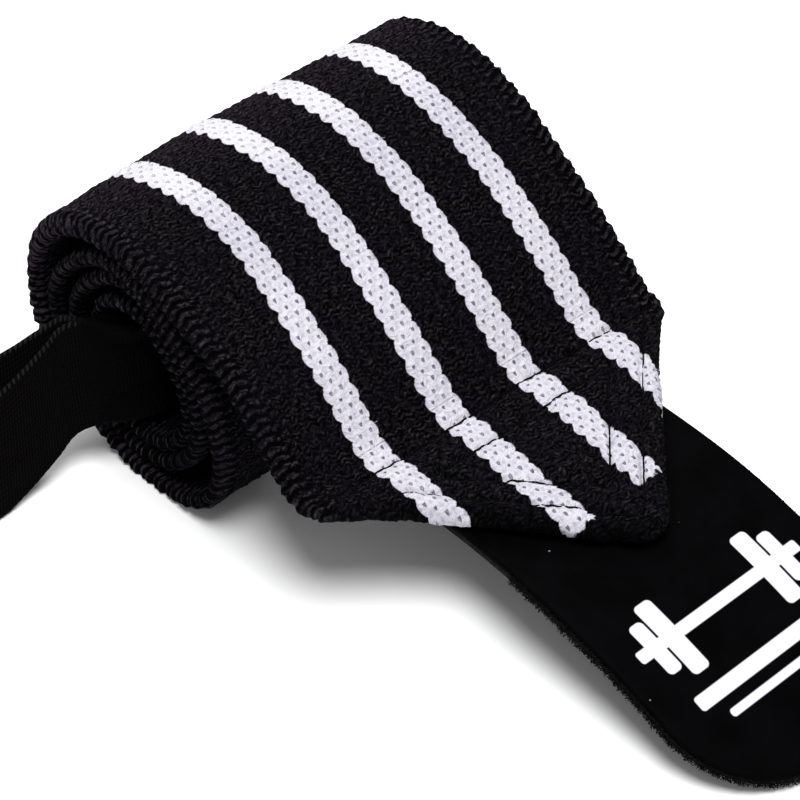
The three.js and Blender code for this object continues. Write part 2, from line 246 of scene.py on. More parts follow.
TIP_CENTRE = FOLD_SETBACK + BAND_WIDTH / 2 - math.sqrt(2) * TIP_RADIUS
TIP_END = TIP_CENTRE + TIP_RADIUS


def edge_at(s, side):
    """How far across the band its edge or fold lies, on the side given as -1 or 1."""
    folded = np.maximum(0, s - FOLD_SETBACK - side * TIP_OFFSET)
    straight = side * (BAND_WIDTH / 2 - folded)
    round_part = TIP_OFFSET + side * np.sqrt(np.maximum(TIP_RADIUS ** 2 - (s - TIP_CENTRE) ** 2, 0))
    return np.where(s < TIP_CENTRE + TIP_RADIUS * math.sqrt(0.5), straight, round_part)


def inside(s, y):
    """How far a place on the band is inside its outline, and the outline's outward direction there."""
    near_fold = (y + BAND_WIDTH / 2 - (s - FOLD_SETBACK + TIP_OFFSET)) * math.sqrt(0.5)
    far_fold = (BAND_WIDTH / 2 - y - (s - FOLD_SETBACK - TIP_OFFSET)) * math.sqrt(0.5)
    tip = TIP_RADIUS - np.hypot(s - TIP_CENTRE, y - TIP_OFFSET)
    in_tip = s - TIP_CENTRE > np.abs(y - TIP_OFFSET)
    choices = np.stack([y + BAND_WIDTH / 2, BAND_WIDTH / 2 - y, near_fold, far_fold])
    which = np.argmin(choices, axis=0)
    d = np.where(in_tip, tip, np.min(choices, axis=0))
    root = math.sqrt(0.5)
    ns = np.array([0, 0, root, root])[which]
    ny = np.array([-1, 1, -root, root])[which]
    far = np.hypot(s - TIP_CENTRE, y - TIP_OFFSET) + 1e-6
    ns = np.where(in_tip, (s - TIP_CENTRE) / far, ns)
    ny = np.where(in_tip, (y - TIP_OFFSET) / far, ny)
    return np.maximum(d, 0), ns, ny


def lattice_noise(x, y, seed):
    """Soft random values between -1 and 1, about one millimetre apart."""
    table = np.random.default_rng(seed).uniform(-1, 1, (64, 64))
    ix, iy = np.floor(x).astype(int), np.floor(y).astype(int)
    fx, fy = x - ix, y - iy
    fx, fy = fx * fx * (3 - 2 * fx), fy * fy * (3 - 2 * fy)

    def t(a, b):
        return table[a % 64, b % 64]

    low = t(ix, iy) * (1 - fx) + t(ix + 1, iy) * fx
    high = t(ix, iy + 1) * (1 - fx) + t(ix + 1, iy + 1) * fx
    return low * (1 - fy) + high * fy


def stray(s, y):
    """Sideways drift of the knit's rows on the band, in millimetres."""
    near, far = np.interp(s, STRAY[:, 0], STRAY[:, 1]), np.interp(s, STRAY[:, 0], STRAY[:, 2])
    share = np.clip((y - STRIPES[0]) / (STRIPES[3] - STRIPES[0]), 0, 1)
    return (near + (far - near) * share) * (1 - smooth(29, 36, np.abs(y)))


def stripe_offset(y):
    """Distance from the middle of the nearest stripe; large where there is none."""
    e = np.mod(y - STRIPES[0] + STRIPE_PITCH / 2, STRIPE_PITCH) - STRIPE_PITCH / 2
    return np.where((y > STRIPES[0] - 7) & (y < STRIPES[3] + 7), e, PLAIN)


def zigzag(x):
    """Straight lines up and down between 0 and 1, two long."""
    return np.abs(np.mod(x, 2) - 1)


def knit_relief(s, y):
    """How far the knit stands above its mean surface, in millimetres, at a place on the flat cloth."""
    v, u = s / COURSE, (y - STRIPES[0]) / WALE + 1.5
    f = -np.cos(2 * math.pi * v) * np.cos(math.pi * u)
    e = np.abs(stripe_offset(y))
    white = 1 - smooth(2.2, 3.0, e)
    loops = 0.21 * np.sign(f) * np.abs(f) ** 0.8 - 0.34 * np.exp(-((1 - f) / 0.13) ** 2)
    loops = loops * (0.85 + 0.6 * lattice_noise(s / 2.3, y / 1.9, 11))
    loops = loops + 0.1 * lattice_noise(s / 0.62, y / 0.55, 15) * (1 - 0.6 * white)
    seam = 0.2 * np.exp(-((e - 2.6) / 0.35) ** 2)
    height = loops + 0.13 * white - seam
    cords = zigzag((np.abs(y) - SELVEDGE_CREASE) / SELVEDGE_CORD)
    chevron = np.cos(2 * math.pi * (s / (COURSE / 2) + 0.4 * cords))
    lobe = np.abs(np.cos(math.pi * (s / COURSE + 0.5 * (y < 0)))) ** 0.7
    selvedge = smooth(*SELVEDGE, np.abs(y))
    outermost = smooth(35.5, 38.2, np.abs(y))
    rope = 0.16 * chevron * (0.8 + 0.6 * lattice_noise(s / 1.3, y / 1.1, 31))
    rope = rope + 0.5 * (lobe - 0.55) * outermost + 0.1
    height = height * (1 - selvedge) + rope * selvedge
    return height + 0.06 * lattice_noise(s / 0.9, y / 0.8, 5) + 0.1 * lattice_noise(s / 4.7, y / 5.3, 8)


def line_distance(s, y, line):
    """Distance to the nearest part of a line through corners."""
    nearest = np.full(np.shape(s), 99.0)
    for a, b in zip(line[:-1], line[1:]):
        ds, dy = b[0] - a[0], b[1] - a[1]
        t = np.clip(((s - a[0]) * ds + (y - a[1]) * dy) / (ds * ds + dy * dy), 0, 1)
        nearest = np.minimum(nearest, np.hypot(s - a[0] - t * ds, y - a[1] - t * dy))
    return nearest


def valley(s, y):
    """How far the stitches pull the cloth in, and how far it swells between them."""
    nearest = np.full(np.shape(s), 99.0)
    for line in (ACROSS_LINE, OUTER_ROW, INNER_ROW):
        nearest = np.minimum(nearest, line_distance(s, y, line))
    pull = 0.8 + 0.35 * lattice_noise(s / 2.2, y / 2.2, 21)
    pulled = pull * (0.75 * np.exp(-(nearest / 0.55) ** 2) + 0.3 * np.exp(-(nearest / 1.7) ** 2))
    return pulled - 0.2 * smooth(1.2, 3.2, nearest) * smooth(-3, 0, s)


def band_surface(s, y, under):
    """Depth into the cloth and knit coordinates of the band's face, or of its underside."""
    d, ns, ny = inside(s, y)
    folded = smooth(-1.5, 2.0, s)
    on_fold = ns > 0.3
    r = BAND / 2 + (PRESSED - BAND / 2) * folded
    thick = np.where(s < FLAP_SETBACK, BAND, 2 * PRESSED)
    r = np.minimum(r, thick / 2)
    reach = r * np.where(on_fold, ROUNDNESS, 1.15)
    sine = np.clip((reach - d) / reach, 0, 1)
    theta = np.arcsin(sine)
    rim = r - r * np.cos(theta)
    turned = math.pi - theta if under else theta
    slide = (r * turned - r * sine) * np.where(on_fold, np.where(ny < 0, 0.5, 0.9), 1)
    if under:
        beyond = np.maximum(0, d - reach)
        tucked = np.where(d >= reach, 0, np.minimum(slide, 0.57 * r))
        slide = np.where(s > FLAP_SETBACK, slide + 2 * beyond, tucked)
    us, uy = s + ns * slide, y + ny * slide - stray(s, y)
    us = us + 0.3 * lattice_noise(us / 2.3, uy / 2.1, 3)
    lift = knit_relief(us, uy)
    level = np.sqrt(np.maximum(0, 1 - sine ** 2))
    if under:
        depth = thick - rim + 0.6 * lift * level
    else:
        proud = np.interp(s, PROUD[:, 0], PROUD[:, 1])
        depth = rim - (lift + proud) * level + valley(s, y) * smooth(0.3, 1.8, d)
    drift = np.where(ny < 0, np.interp(s, EDGE_DRIFT[:, 0], EDGE_DRIFT[:, 1]),
                     np.interp(s, EDGE_DRIFT[:, 0], EDGE_DRIFT[:, 2]))
    outward = sine * (lift + 0.2) + drift * np.clip(1 - d / 9, 0, 1) ** 2
    return depth, us, uy, outward * ns, outward * ny


def mesh_object(name, verts, faces, uv=None, caps=()):
    """A mesh from arrays in millimetres. Faces are shaded smooth, and caps meet them at a crease."""
    faces, caps = np.asarray(faces, np.int32), np.asarray(caps, np.int32)
    corners = np.concatenate([faces.ravel(), caps.ravel()])
    sizes = np.concatenate([np.full(len(faces), faces.shape[1]), np.full(len(caps), 3)]).astype(np.int32)
    mesh = bpy.data.meshes.new(name)
    mesh.vertices.add(len(verts))
    mesh.vertices.foreach_set("co", (np.asarray(verts) * MM).astype(np.float32).ravel())
    mesh.loops.add(len(corners))
    mesh.loops.foreach_set("vertex_index", corners)
    mesh.polygons.add(len(sizes))
    mesh.polygons.foreach_set("loop_start", (np.cumsum(sizes) - sizes).astype(np.int32))
    mesh.polygons.foreach_set("loop_total", sizes)
    if uv is not None:
        layer = mesh.uv_layers.new(name="UVMap")
        layer.data.foreach_set("uv", (np.asarray(uv)[corners] / 100).astype(np.float32).ravel())
    mesh.update(calc_edges=True)
    smooth_faces = np.arange(len(sizes)) < len(faces)
    mesh.polygons.foreach_set("use_smooth", smooth_faces)
    obj = bpy.data.objects.new(name, mesh)
    bpy.context.scene.collection.objects.link(obj)
    return obj


def ring_faces(rows, columns):
    """Quads of a tube: rows of rings, each closed on itself."""
    r, c = np.meshgrid(np.arange(rows - 1), np.arange(columns), indexing="ij")
    n = (c + 1) % columns
    quads = np.stack([r * columns + c, (r + 1) * columns + c, (r + 1) * columns + n, r * columns + n], -1)
    return quads.reshape(-1, 4)


def cap_faces(row, upper, lower):
    """Triangles closing one end of a tube whose rings run over the face and back below."""
    start = row * (upper + lower)
    above = [start + c for c in range(upper)]
    below = [start + upper + lower - 1 - c for c in range(lower)]
    triangles, i, j = [], 0, 0
    while i < upper - 1 or j < lower - 1:
        if j == lower - 1 or (i < upper - 1 and i / (upper - 1) <= j / (lower - 1)):
            triangles.append((above[i], above[i + 1], below[j]))
            i += 1
        else:
            triangles.append((above[i], below[j + 1], below[j]))
            j += 1
    triangles = np.array(triangles)
    return triangles if row == 0 else triangles[:, ::-1]


def knit_rows(s_from, s_to, step):
    """Places along a length of the band, closer together in the tip, with a sharp rise at the flap."""
    if s_to < TIP_END - 0.1:
        return np.linspace(s_from, s_to, int(round((s_to - s_from) / step)) + 1)
    body = np.arange(s_from, TIP_END - 2.5, step)
    end = TIP_END - 2.5 * (1 - np.sin(np.linspace(0, math.pi / 2 * 0.985, 12)))
    rows = np.concatenate([body, end])
    jump = np.argmin(np.abs(rows - FLAP_SETBACK))
    rows[jump - 1], rows[jump] = FLAP_SETBACK - 0.1, FLAP_SETBACK + 0.02
    return rows


def knit_columns(rows, across, rim_steps):
    """Places across the band for each row, closer together round its two rims."""
    left, right = edge_at(rows, -1)[:, None], edge_at(rows, 1)[:, None]
    slant = np.where(rows > FOLD_SETBACK, math.sqrt(2) * ROUNDNESS, 1.15)[:, None]
    room = np.minimum(PRESSED * slant, (right - left) * 0.3)
    eased = 1 - np.cos(np.linspace(0, math.pi / 2, rim_steps + 1))[:-1]
    t = np.linspace(0, 1, int(round(BAND_WIDTH / across)))[None, :]
    middle = (left + room) * (1 - t) + (right - room) * t
    return np.concatenate([left + room * eased, middle, right - room * eased[::-1]], 1)


def knit_piece(name, s_from, s_to, step, across, below=1.5):
    """One length of the band as a closed solid: its knitted face, rims and underside."""
    rows = knit_rows(s_from, s_to, step)
    verts, uv, counts = [], [], []
    for under, spacing in ((False, across), (True, below)):
        y = knit_columns(rows, spacing, 7)
        if under:
            y = y[:, -2:0:-1]
        s = np.repeat(rows[:, None], y.shape[1], 1)
        depth, us, uy, out_s, out_y = band_surface(s, y, under)
        if under:
            face_depth = band_surface(s, y, False)[0]
            depth = np.maximum(depth, face_depth + 0.04)
        verts.append(on_band(s + out_s, y + out_y, depth))
        uv.append(np.stack([us, uy], -1))
        counts.append(y.shape[1])
    verts, uv = np.concatenate(verts, 1), np.concatenate(uv, 1)
    verts[..., 2] = np.maximum(verts[..., 2], 0)
    quads = ring_faces(len(rows), sum(counts))
    caps = np.concatenate([cap_faces(0, *counts), cap_faces(len(rows) - 1, *counts)])
    return mesh_object(name, verts.reshape(-1, 3), quads, uv.reshape(-1, 2), caps)


class Graph:
    """A short way to write shader maths."""

    def __init__(self, name):
        self.material = bpy.data.materials.new(name)
        self.material.use_nodes = True
        self.tree = self.material.node_tree
        self.shader = self.tree.nodes["Principled BSDF"]

    def node(self, kind, inputs=(), **settings):
        node = self.tree.nodes.new(kind)
        for key, value in settings.items():
            setattr(node, key, value)
        for key, value in dict(inputs).items():
            if hasattr(value, "is_output"):
                self.tree.links.new(value, node.inputs[key])
            else:
                node.inputs[key].default_value = value
        return node

    def math(self, operation, a, b=0.0, c=0.0):
        return self.node("ShaderNodeMath", {0: a, 1: b, 2: c}, operation=operation).outputs[0]

    def step(self, value, lo, hi, out_lo=0.0, out_hi=1.0):
        node = self.node("ShaderNodeMapRange", {"Value": value, "From Min": lo, "From Max": hi,
                                                "To Min": out_lo, "To Max": out_hi},
                         interpolation_type="SMOOTHSTEP")
        return node.outputs[0]

    def mix(self, share, a, b):
        node = self.node("ShaderNodeMix", {0: share, 6: a, 7: b}, data_type="RGBA")
        return node.outputs[2]

    def noise(self, vector, scale, detail=2.0, roughness=0.5):
        node = self.node("ShaderNodeTexNoise", {"Vector": vector, "Scale": scale, "Detail": detail,
                                                "Roughness": roughness})
        return node.outputs[0]

    def wobble(self, noise, size):
        """Noise centred on zero, so many millimetres wide."""
        return self.math("MULTIPLY", self.math("SUBTRACT", noise, 0.5), size)

    def blend(self, share, a, b):
        """A number between two others."""
        return self.node("ShaderNodeMix", {0: share, 2: a, 3: b}, data_type="FLOAT").outputs[0]

    def plane(self):
        """Coordinates on the flat cloth, in millimetres: along and across."""
        uv = self.node("ShaderNodeUVMap", uv_map="UVMap").outputs[0]
        parts = self.node("ShaderNodeSeparateXYZ", {0: uv})
        return self.math("MULTIPLY", parts.outputs[0], 100), self.math("MULTIPLY", parts.outputs[1], 100)

    def vector(self, x, y, z=0.0):
        return self.node("ShaderNodeCombineXYZ", {0: x, 1: y, 2: z}).outputs[0]

    def bump(self, height, distance):
        inputs = {"Height": height, "Distance": distance, "Strength": 1.0}
        return self.node("ShaderNodeBump", inputs).outputs[0]

    def set(self, **values):
        for key, value in values.items():
            socket = self.shader.inputs[key.replace("_", " ")]
            if hasattr(value, "is_output"):
                self.tree.links.new(value, socket)
            else:
                socket.default_value = value


# Black and white yarn: plain, a random bluish tint, a whiter tone for the tail, and painted highlights,
# sheen, glints and shade.
BLACK_STRAND_SHADE = (0.0003, 0.0003, 0.0004, 1)
BLACK_LIT = (0.0165, 0.014, 0.0175, 1)
BLACK_GLINT = (0.05, 0.047, 0.052, 1)
BLACK_BLUISH = (0.003, 0.0025, 0.005, 1)
BLACK_CREST_SHEEN = (0.047, 0.0365, 0.05, 1)
BLACK_FOLD_SHADE = (0.0005, 0.0005, 0.0006, 1)
BLACK_HOLE_SHADE = (0.0003, 0.0003, 0.0003, 1)
WHITE_PLAIN = (0.58, 0.565, 0.63, 1)
WHITE_CREASE_SHADE = (0.40, 0.385, 0.455, 1)
WHITE_STRAND_SHADE = (0.33, 0.32, 0.39, 1)
WHITE_FIBRE_SHADE = (0.30, 0.29, 0.35, 1)
WHITE_CREST_LIGHT = (0.80, 0.79, 0.82, 1)
WHITE_TAIL_TONE = (0.85, 0.83, 0.90, 1)
WHITE_HOLE_SHADE = (0.05, 0.045, 0.075, 1)


def knit_material():
    """Black yarn in slanting legs, with white stripes whose loops show as lobes round small holes."""
    g = Graph("knit")
    s, y = g.plane()
    v = g.math("DIVIDE", s, COURSE)
    u = g.math("ADD", g.math("DIVIDE", g.math("SUBTRACT", y, STRIPES[0]), WALE), 1.5)
    along = g.math("COSINE", g.math("MULTIPLY", v, 2 * math.pi))
    cross = g.math("COSINE", g.math("MULTIPLY", u, math.pi))
    f = g.math("MULTIPLY", along, cross)
    shifted = g.math("ADD", g.math("SUBTRACT", y, STRIPES[0]), STRIPE_PITCH / 2)
    e = g.math("SUBTRACT", g.math("FLOORED_MODULO", shifted, STRIPE_PITCH), STRIPE_PITCH / 2)
    far_lobe = g.math("POWER", g.math("ABSOLUTE", g.math("COSINE", g.math("MULTIPLY", v, math.pi))), 0.7)
    near_lobe = g.math("POWER", g.math("ABSOLUTE", g.math("SINE", g.math("MULTIPLY", v, math.pi))), 0.7)
    far_side = g.math("GREATER_THAN", e, 0.0)
    lobe = g.blend(far_side, near_lobe, far_lobe)
    reach = g.blend(far_side, 0.6, 0.8)
    width = g.math("ADD", g.math("MULTIPLY", lobe, reach), g.step(s, -45.0, -15.0, 2.05, 2.17))
    ragged = g.wobble(g.noise(g.vector(s, y), 1.6, 2), 0.35)
    over = g.math("SUBTRACT", g.math("ADD", g.math("ABSOLUTE", e), ragged), width)
    middle = (STRIPES[0] + STRIPES[3]) / 2
    within = g.math("LESS_THAN", g.math("ABSOLUTE", g.math("SUBTRACT", y, middle)), STRIPED_HALF)
    white = g.math("MULTIPLY", g.step(over, -0.1, 0.12, 1.0, 0.0), within)
    last = g.math("ADD", s, g.wobble(g.noise(g.vector(s, y), 0.9, 2), 2.2))
    white = g.math("MULTIPLY", white, g.step(last, WHITE_ENDS - 0.2, WHITE_ENDS + 0.2, 1.0, 0.0))
    dip = g.noise(g.vector(s, y), 0.7, 1)
    # Each hole is wider on the side of the band's point.
    wedge = g.math("MULTIPLY", g.math("SINE", g.math("MULTIPLY", v, 2 * math.pi)), cross)
    wedge = g.math("MULTIPLY", wedge, g.math("ABSOLUTE", g.math("SINE", g.math("MULTIPLY", u, math.pi))))
    pit = g.math("SUBTRACT", f, g.math("MULTIPLY", wedge, 0.75))
    pit = g.math("ADD", pit, g.wobble(dip, 0.25))
    hole = g.step(pit, -0.97, -0.7, 1.0, 0.0)
    # Slanting legs of yarn, and the fibres along them.
    slant = g.math("PINGPONG", u, 1.0)
    row = g.math("ADD", g.math("DIVIDE", s, COURSE / 4), g.math("MULTIPLY", slant, 0.6))
    legs = g.math("SINE", g.math("MULTIPLY", row, 2 * math.pi))
    strand = g.noise(g.vector(g.math("MULTIPLY", row, 1.7), g.math("MULTIPLY", u, 0.8)), 1.0, 3, 0.65)
    fibre = g.noise(g.vector(g.math("MULTIPLY", row, 6.0), g.math("MULTIPLY", u, 1.5)), 1.0, 2, 0.6)
    from_crease = g.math("SUBTRACT", g.math("ABSOLUTE", y), SELVEDGE_CREASE)
    edge_slant = g.math("PINGPONG", g.math("DIVIDE", from_crease, SELVEDGE_CORD), 1.0)
    edge_row = g.math("ADD", g.math("DIVIDE", s, COURSE / 2), g.math("MULTIPLY", edge_slant, 0.4))
    chevron = g.math("COSINE", g.math("MULTIPLY", edge_row, 2 * math.pi))
    selvedge = g.step(g.math("ABSOLUTE", y), *SELVEDGE)
    fuzz = g.noise(g.vector(s, y), 1.9, 3, 0.75)
    lit = g.math("ADD", g.math("MULTIPLY", strand, 0.55), g.math("MULTIPLY", fuzz, 0.45))
    lit = g.math("ADD", lit, g.math("MULTIPLY", legs, 0.035))
    lit_edge = g.math("ADD", g.math("MULTIPLY", chevron, 0.12), lit)
    lit_edge = g.math("SUBTRACT", lit_edge, 0.02)
    lit = g.blend(selvedge, lit, lit_edge)
    # Painted highlight on the tops of the yarn's strands and the selvedge's cords, painted shade between
    # them.
    black = g.mix(g.step(lit, 0.43, 0.66), BLACK_STRAND_SHADE, BLACK_LIT)
    # Painted glints on the black yarn's lit strands and fibres.
    glint = g.math("ADD", lit, g.math("MULTIPLY", fibre, 0.4))
    black = g.mix(g.step(glint, 0.76, 0.96), black, BLACK_GLINT)
    tint = g.step(g.noise(g.vector(s, y), 0.12, 2), 0.35, 0.65)
    black = g.mix(g.math("MULTIPLY", tint, 0.3), black, BLACK_BLUISH)
    # Painted sheen on the lit black strands of the roll's outer turn, behind the crest.
    crest_sheen = g.math("MULTIPLY", g.step(s, -92.0, -46.0, 0.85, 0.0), g.step(s, -150.0, -112.0, 0.1, 1.0))
    crest_sheen = g.math("MULTIPLY", crest_sheen, g.step(lit, 0.42, 0.62))
    black = g.mix(crest_sheen, black, BLACK_CREST_SHEEN)
    # Painted shade on the black yarn along the point's near fold.
    from_fold = g.math("ADD", g.math("SUBTRACT", y, s), BAND_WIDTH / 2)
    fold_shade = g.math("MULTIPLY", g.step(from_fold, 1.0, 10.0, 0.75, 0.0), g.step(s, 2.0, 14.0))
    black = g.mix(fold_shade, black, BLACK_FOLD_SHADE)
    # Painted shade in the knit's holes.
    black = g.mix(g.math("MULTIPLY", hole, 0.8), black, BLACK_HOLE_SHADE)
    # Painted shade in the hollows between the white loops.
    pale = g.mix(g.step(f, 0.4, 1.0), WHITE_PLAIN, WHITE_CREASE_SHADE)
    # Painted shade between the white yarn's strands and between its fibres.
    pale = g.mix(g.step(strand, 0.3, 0.58, 0.55, 0.0), pale, WHITE_STRAND_SHADE)
    pale = g.mix(g.step(fibre, 0.35, 0.65, 0.25, 0.0), pale, WHITE_FIBRE_SHADE)
    # Painted light: the white stripes brighter towards the crest.
    crest_light = g.step(s, -60.0, -44.0, 0.4, 0.0)
    pale = g.mix(crest_light, pale, WHITE_CREST_LIGHT)
    # Whiter and bluer along the tail, less so on the point.
    tail_tone = g.math("MULTIPLY", g.step(s, -42.0, -24.0, 0.0, 0.24), g.step(s, -4.0, 6.0, 1.0, 0.4))
    pale = g.mix(tail_tone, pale, WHITE_TAIL_TONE)
    # Painted shade in the holes of the white stripes, lighter under the crest's painted light.
    hole_shade = g.math("MULTIPLY", hole, g.step(dip, 0.3, 0.65, 0.55, 0.9))
    hole_shade = g.math("MULTIPLY", hole_shade, g.math("SUBTRACT", 1.0, g.math("MULTIPLY", crest_light, 1.4)))
    pale = g.mix(hole_shade, pale, WHITE_HOLE_SHADE)
    g.set(Base_Color=g.mix(white, black, pale))
    fine = g.math("ADD", g.math("MULTIPLY", legs, 0.1), g.math("MULTIPLY", strand, 1.3))
    fine = g.math("ADD", fine, g.math("MULTIPLY", fuzz, 0.9))
    fine = g.math("ADD", fine, g.math("MULTIPLY", fibre, 0.5))
    fine = g.math("MULTIPLY", fine, g.math("SUBTRACT", 1.0, g.math("MULTIPLY", white, 0.35)))
    height = g.math("SUBTRACT", fine, g.math("MULTIPLY", hole, 0.8))
    g.set(Normal=g.bump(height, 0.35 * MM), Roughness=0.9, Specular_IOR_Level=0.02)
    return g.material


def thread_material():
    """Twisted black sewing thread."""
    g = Graph("stitch_thread")
    s, y = g.plane()
    twist = g.math("SINE", g.math("MULTIPLY", g.math("ADD", s, g.math("MULTIPLY", y, 0.6)), 9.0))
    base = g.mix(g.step(twist, -1, 1), (0.0004, 0.0004, 0.0006, 1), (0.0045, 0.0045, 0.0055, 1))
    g.set(Base_Color=base, Roughness=0.7, Normal=g.bump(twist, 0.05 * MM), Specular_IOR_Level=0.03)
    return g.material


def box_print(g, s, y, centre, half, soft=0.12, corner=0.5):
    """A rounded rectangle as a mask."""
    a = g.math("SUBTRACT", g.math("ABSOLUTE", g.math("SUBTRACT", s, centre[0])), half[0] - corner)
    b = g.math("SUBTRACT", g.math("ABSOLUTE", g.math("SUBTRACT", y, centre[1])), half[1] - corner)
    a, b = g.math("MAXIMUM", a, 0.0), g.math("MAXIMUM", b, 0.0)
    far = g.math("SQRT", g.math("ADD", g.math("MULTIPLY", a, a), g.math("MULTIPLY", b, b)))
    return g.step(far, corner - soft, corner + soft, 1.0, 0.0)


def tab_material():
    """Smooth black fabric, printed in white with a plain barbell above two bars."""
    g = Graph("tab_fabric")
    s, y = g.plane()
    at = g.vector(s, y)
    weave = g.math("MULTIPLY", *(g.math("SINE", g.math("MULTIPLY", way, 13.0)) for way in (s, y)))
    cloud = g.noise(at, 0.09, 3, 0.6)
    grain = g.noise(at, 6.0, 2, 0.6)
    base = g.mix(g.step(cloud, 0.3, 0.7), (0.0006, 0.0006, 0.0008, 1), (0.0014, 0.0013, 0.0016, 1))
    base = g.mix(g.step(grain, 0.62, 0.8), base, (0.003, 0.003, 0.0034, 1))
    specks = g.node("ShaderNodeTexVoronoi", {"Vector": at, "Scale": 0.16}, feature="F1")
    base = g.mix(g.step(specks.outputs["Distance"], 0.018, 0.03, 0.5, 0.0), base, (0.4, 0.4, 0.4, 1))
    middle = (50.5, TAB_OFFSET)
    mark = box_print(g, s, y, middle, (1.1, 17.6))
    for out, tall, wide in ((10.6, 7.2, 1.7), (14.1, 5.0, 1.35)):
        for side in (-1, 1):
            plate = box_print(g, s, y, (middle[0], middle[1] + side * out), (tall, wide), corner=0.9)
            mark = g.math("MAXIMUM", mark, plate)
    for along, tall, wide in ((61.6, 1.3, 15.4), (65.6, 0.7, 12.0)):
        mark = g.math("MAXIMUM", mark, box_print(g, s, y, (along, middle[1]), (tall, wide), corner=0.6))
    worn = g.step(g.noise(at, 2.2, 3, 0.7), 0.2, 0.34)
    mark = g.math("MULTIPLY", mark, worn)
    colour = g.mix(mark, base, (0.64, 0.64, 0.70, 1))
    height = g.math("ADD", g.math("MULTIPLY", weave, 0.3), g.math("MULTIPLY", grain, 0.6))
    g.set(Base_Color=colour, Roughness=g.step(cloud, 0.3, 0.7, 0.5, 0.62))
    g.set(Normal=g.bump(height, 0.03 * MM), Specular_IOR_Level=0.01)
    return g.material


def hook_material():
    """Dull black hook tape."""
    g = Graph("hook_tape")
    s, y = g.plane()
    at = g.vector(s, y)
    grain = g.noise(at, 3.0, 3, 0.7)
    base = g.mix(g.step(grain, 0.4, 0.7), (0.0015, 0.0015, 0.0017, 1), (0.014, 0.0135, 0.015, 1))
    g.set(Base_Color=base, Roughness=0.6, Normal=g.bump(grain, 0.3 * MM), Specular_IOR_Level=0.1)
    return g.material


def webbing_material(length):
    """Cross-ribbed woven elastic with a beaded upper edge carrying a painted highlight, and painted shade
    towards both ends of its length, where it runs into the roll.
    """
    g = Graph("webbing")
    s, y = g.plane()
    from_end = g.math("MINIMUM", s, g.math("SUBTRACT", length, s))
    at = g.vector(s, y)
    ribs = g.math("SINE", g.math("MULTIPLY", s, 2 * math.pi / 0.62))
    cords = g.math("SINE", g.math("MULTIPLY", y, 2 * math.pi / 0.85))
    noise = g.noise(at, 3.5, 3, 0.7)
    weave = g.math("ADD", g.math("MULTIPLY", ribs, 0.5), g.math("MULTIPLY", cords, 0.28))
    # Painted highlight on the beads of the upper edge.
    edge = g.step(y, WEBBING_WIDTH / 2 - 0.9, WEBBING_WIDTH / 2 - 0.5)
    woven = g.step(g.math("ADD", weave, g.math("MULTIPLY", noise, 1.2)), 0.1, 1.3)
    base = g.mix(woven, (0.0003, 0.0002, 0.0003, 1), (0.003, 0.0022, 0.0026, 1))
    beads = g.math("SINE", g.math("MULTIPLY", s, 2 * math.pi / 1.1))
    rim = g.mix(g.step(beads, -0.6, 0.9), (0.0006, 0.0006, 0.0007, 1), (0.011, 0.0105, 0.012, 1))
    # Painted shade where both ends run into the roll: no highlight on the edge there, and the webbing
    # darkened.
    edge = g.math("MULTIPLY", edge, g.step(from_end, 13.0, 18.0))
    base = g.mix(g.step(from_end, 12.0, 21.0, 0.9, 0.0), base, (0.0002, 0.0002, 0.0002, 1))
    g.set(Base_Color=g.mix(edge, base, rim), Roughness=0.85, Specular_IOR_Level=0.04)
    height = g.math("ADD", weave, g.math("MULTIPLY", noise, 0.8))
    g.set(Normal=g.bump(height, 0.12 * MM))
    return g.material


def slab(name, s_rows, left, right, depth, thick, edge, columns=48):
    """A thin smooth layer following the band's path, with rounded edges."""
    t = np.linspace(0, 1, columns)
    rounded = (1 - np.cos(np.linspace(0, math.pi / 2, 5)))[:-1]
    left, right = left[:, None], right[:, None]
    room = np.minimum(edge, (right - left) * 0.3)
    middle = (left + room) * (1 - t) + (right - room) * t
    ys = np.concatenate([left + room * rounded, middle, right - room * rounded[::-1]], 1)
    s = np.repeat(s_rows[:, None], ys.shape[1], 1)
    d = np.minimum(np.minimum(ys - left, right - ys) / np.maximum(room, 1e-3), 1)
    lens = 1 - np.sqrt(np.maximum(0, 1 - (1 - d) ** 2))
    top = on_band(s, ys, depth + lens * thick / 2)
    low = on_band(s, ys, depth + thick - lens * thick / 2)
    m = ys.shape[1]
    verts = np.concatenate([top, low[:, ::-1]], 1)
    verts[..., 2] = np.maximum(verts[..., 2], 0)
    uv = np.stack([np.concatenate([s, s], 1), np.concatenate([ys, ys[:, ::-1]], 1)], -1)
    caps = np.concatenate([cap_faces(0, m, m), cap_faces(len(s_rows) - 1, m, m)])
    quads = ring_faces(len(s_rows), 2 * m)
    return mesh_object(name, verts.reshape(-1, 3), quads, uv.reshape(-1, 2), caps)


def tab_rows():
    """Places along the tab, closer together in its rounded end."""
    straight = np.arange(TAB_SETBACK, TAB_REACH - TAB_CORNER, 1.0)
    end = TAB_REACH - TAB_CORNER + TAB_CORNER * np.sin(np.linspace(0, math.pi / 2 * 0.99, 36))
    return np.concatenate([straight, end])


def tab_half(s):
    """Half of the tab's width at a place along it."""
    over = np.maximum(0, s - (TAB_REACH - TAB_CORNER))
    return TAB_WIDTH / 2 - TAB_CORNER + np.sqrt(np.maximum(TAB_CORNER ** 2 - over ** 2, 0))


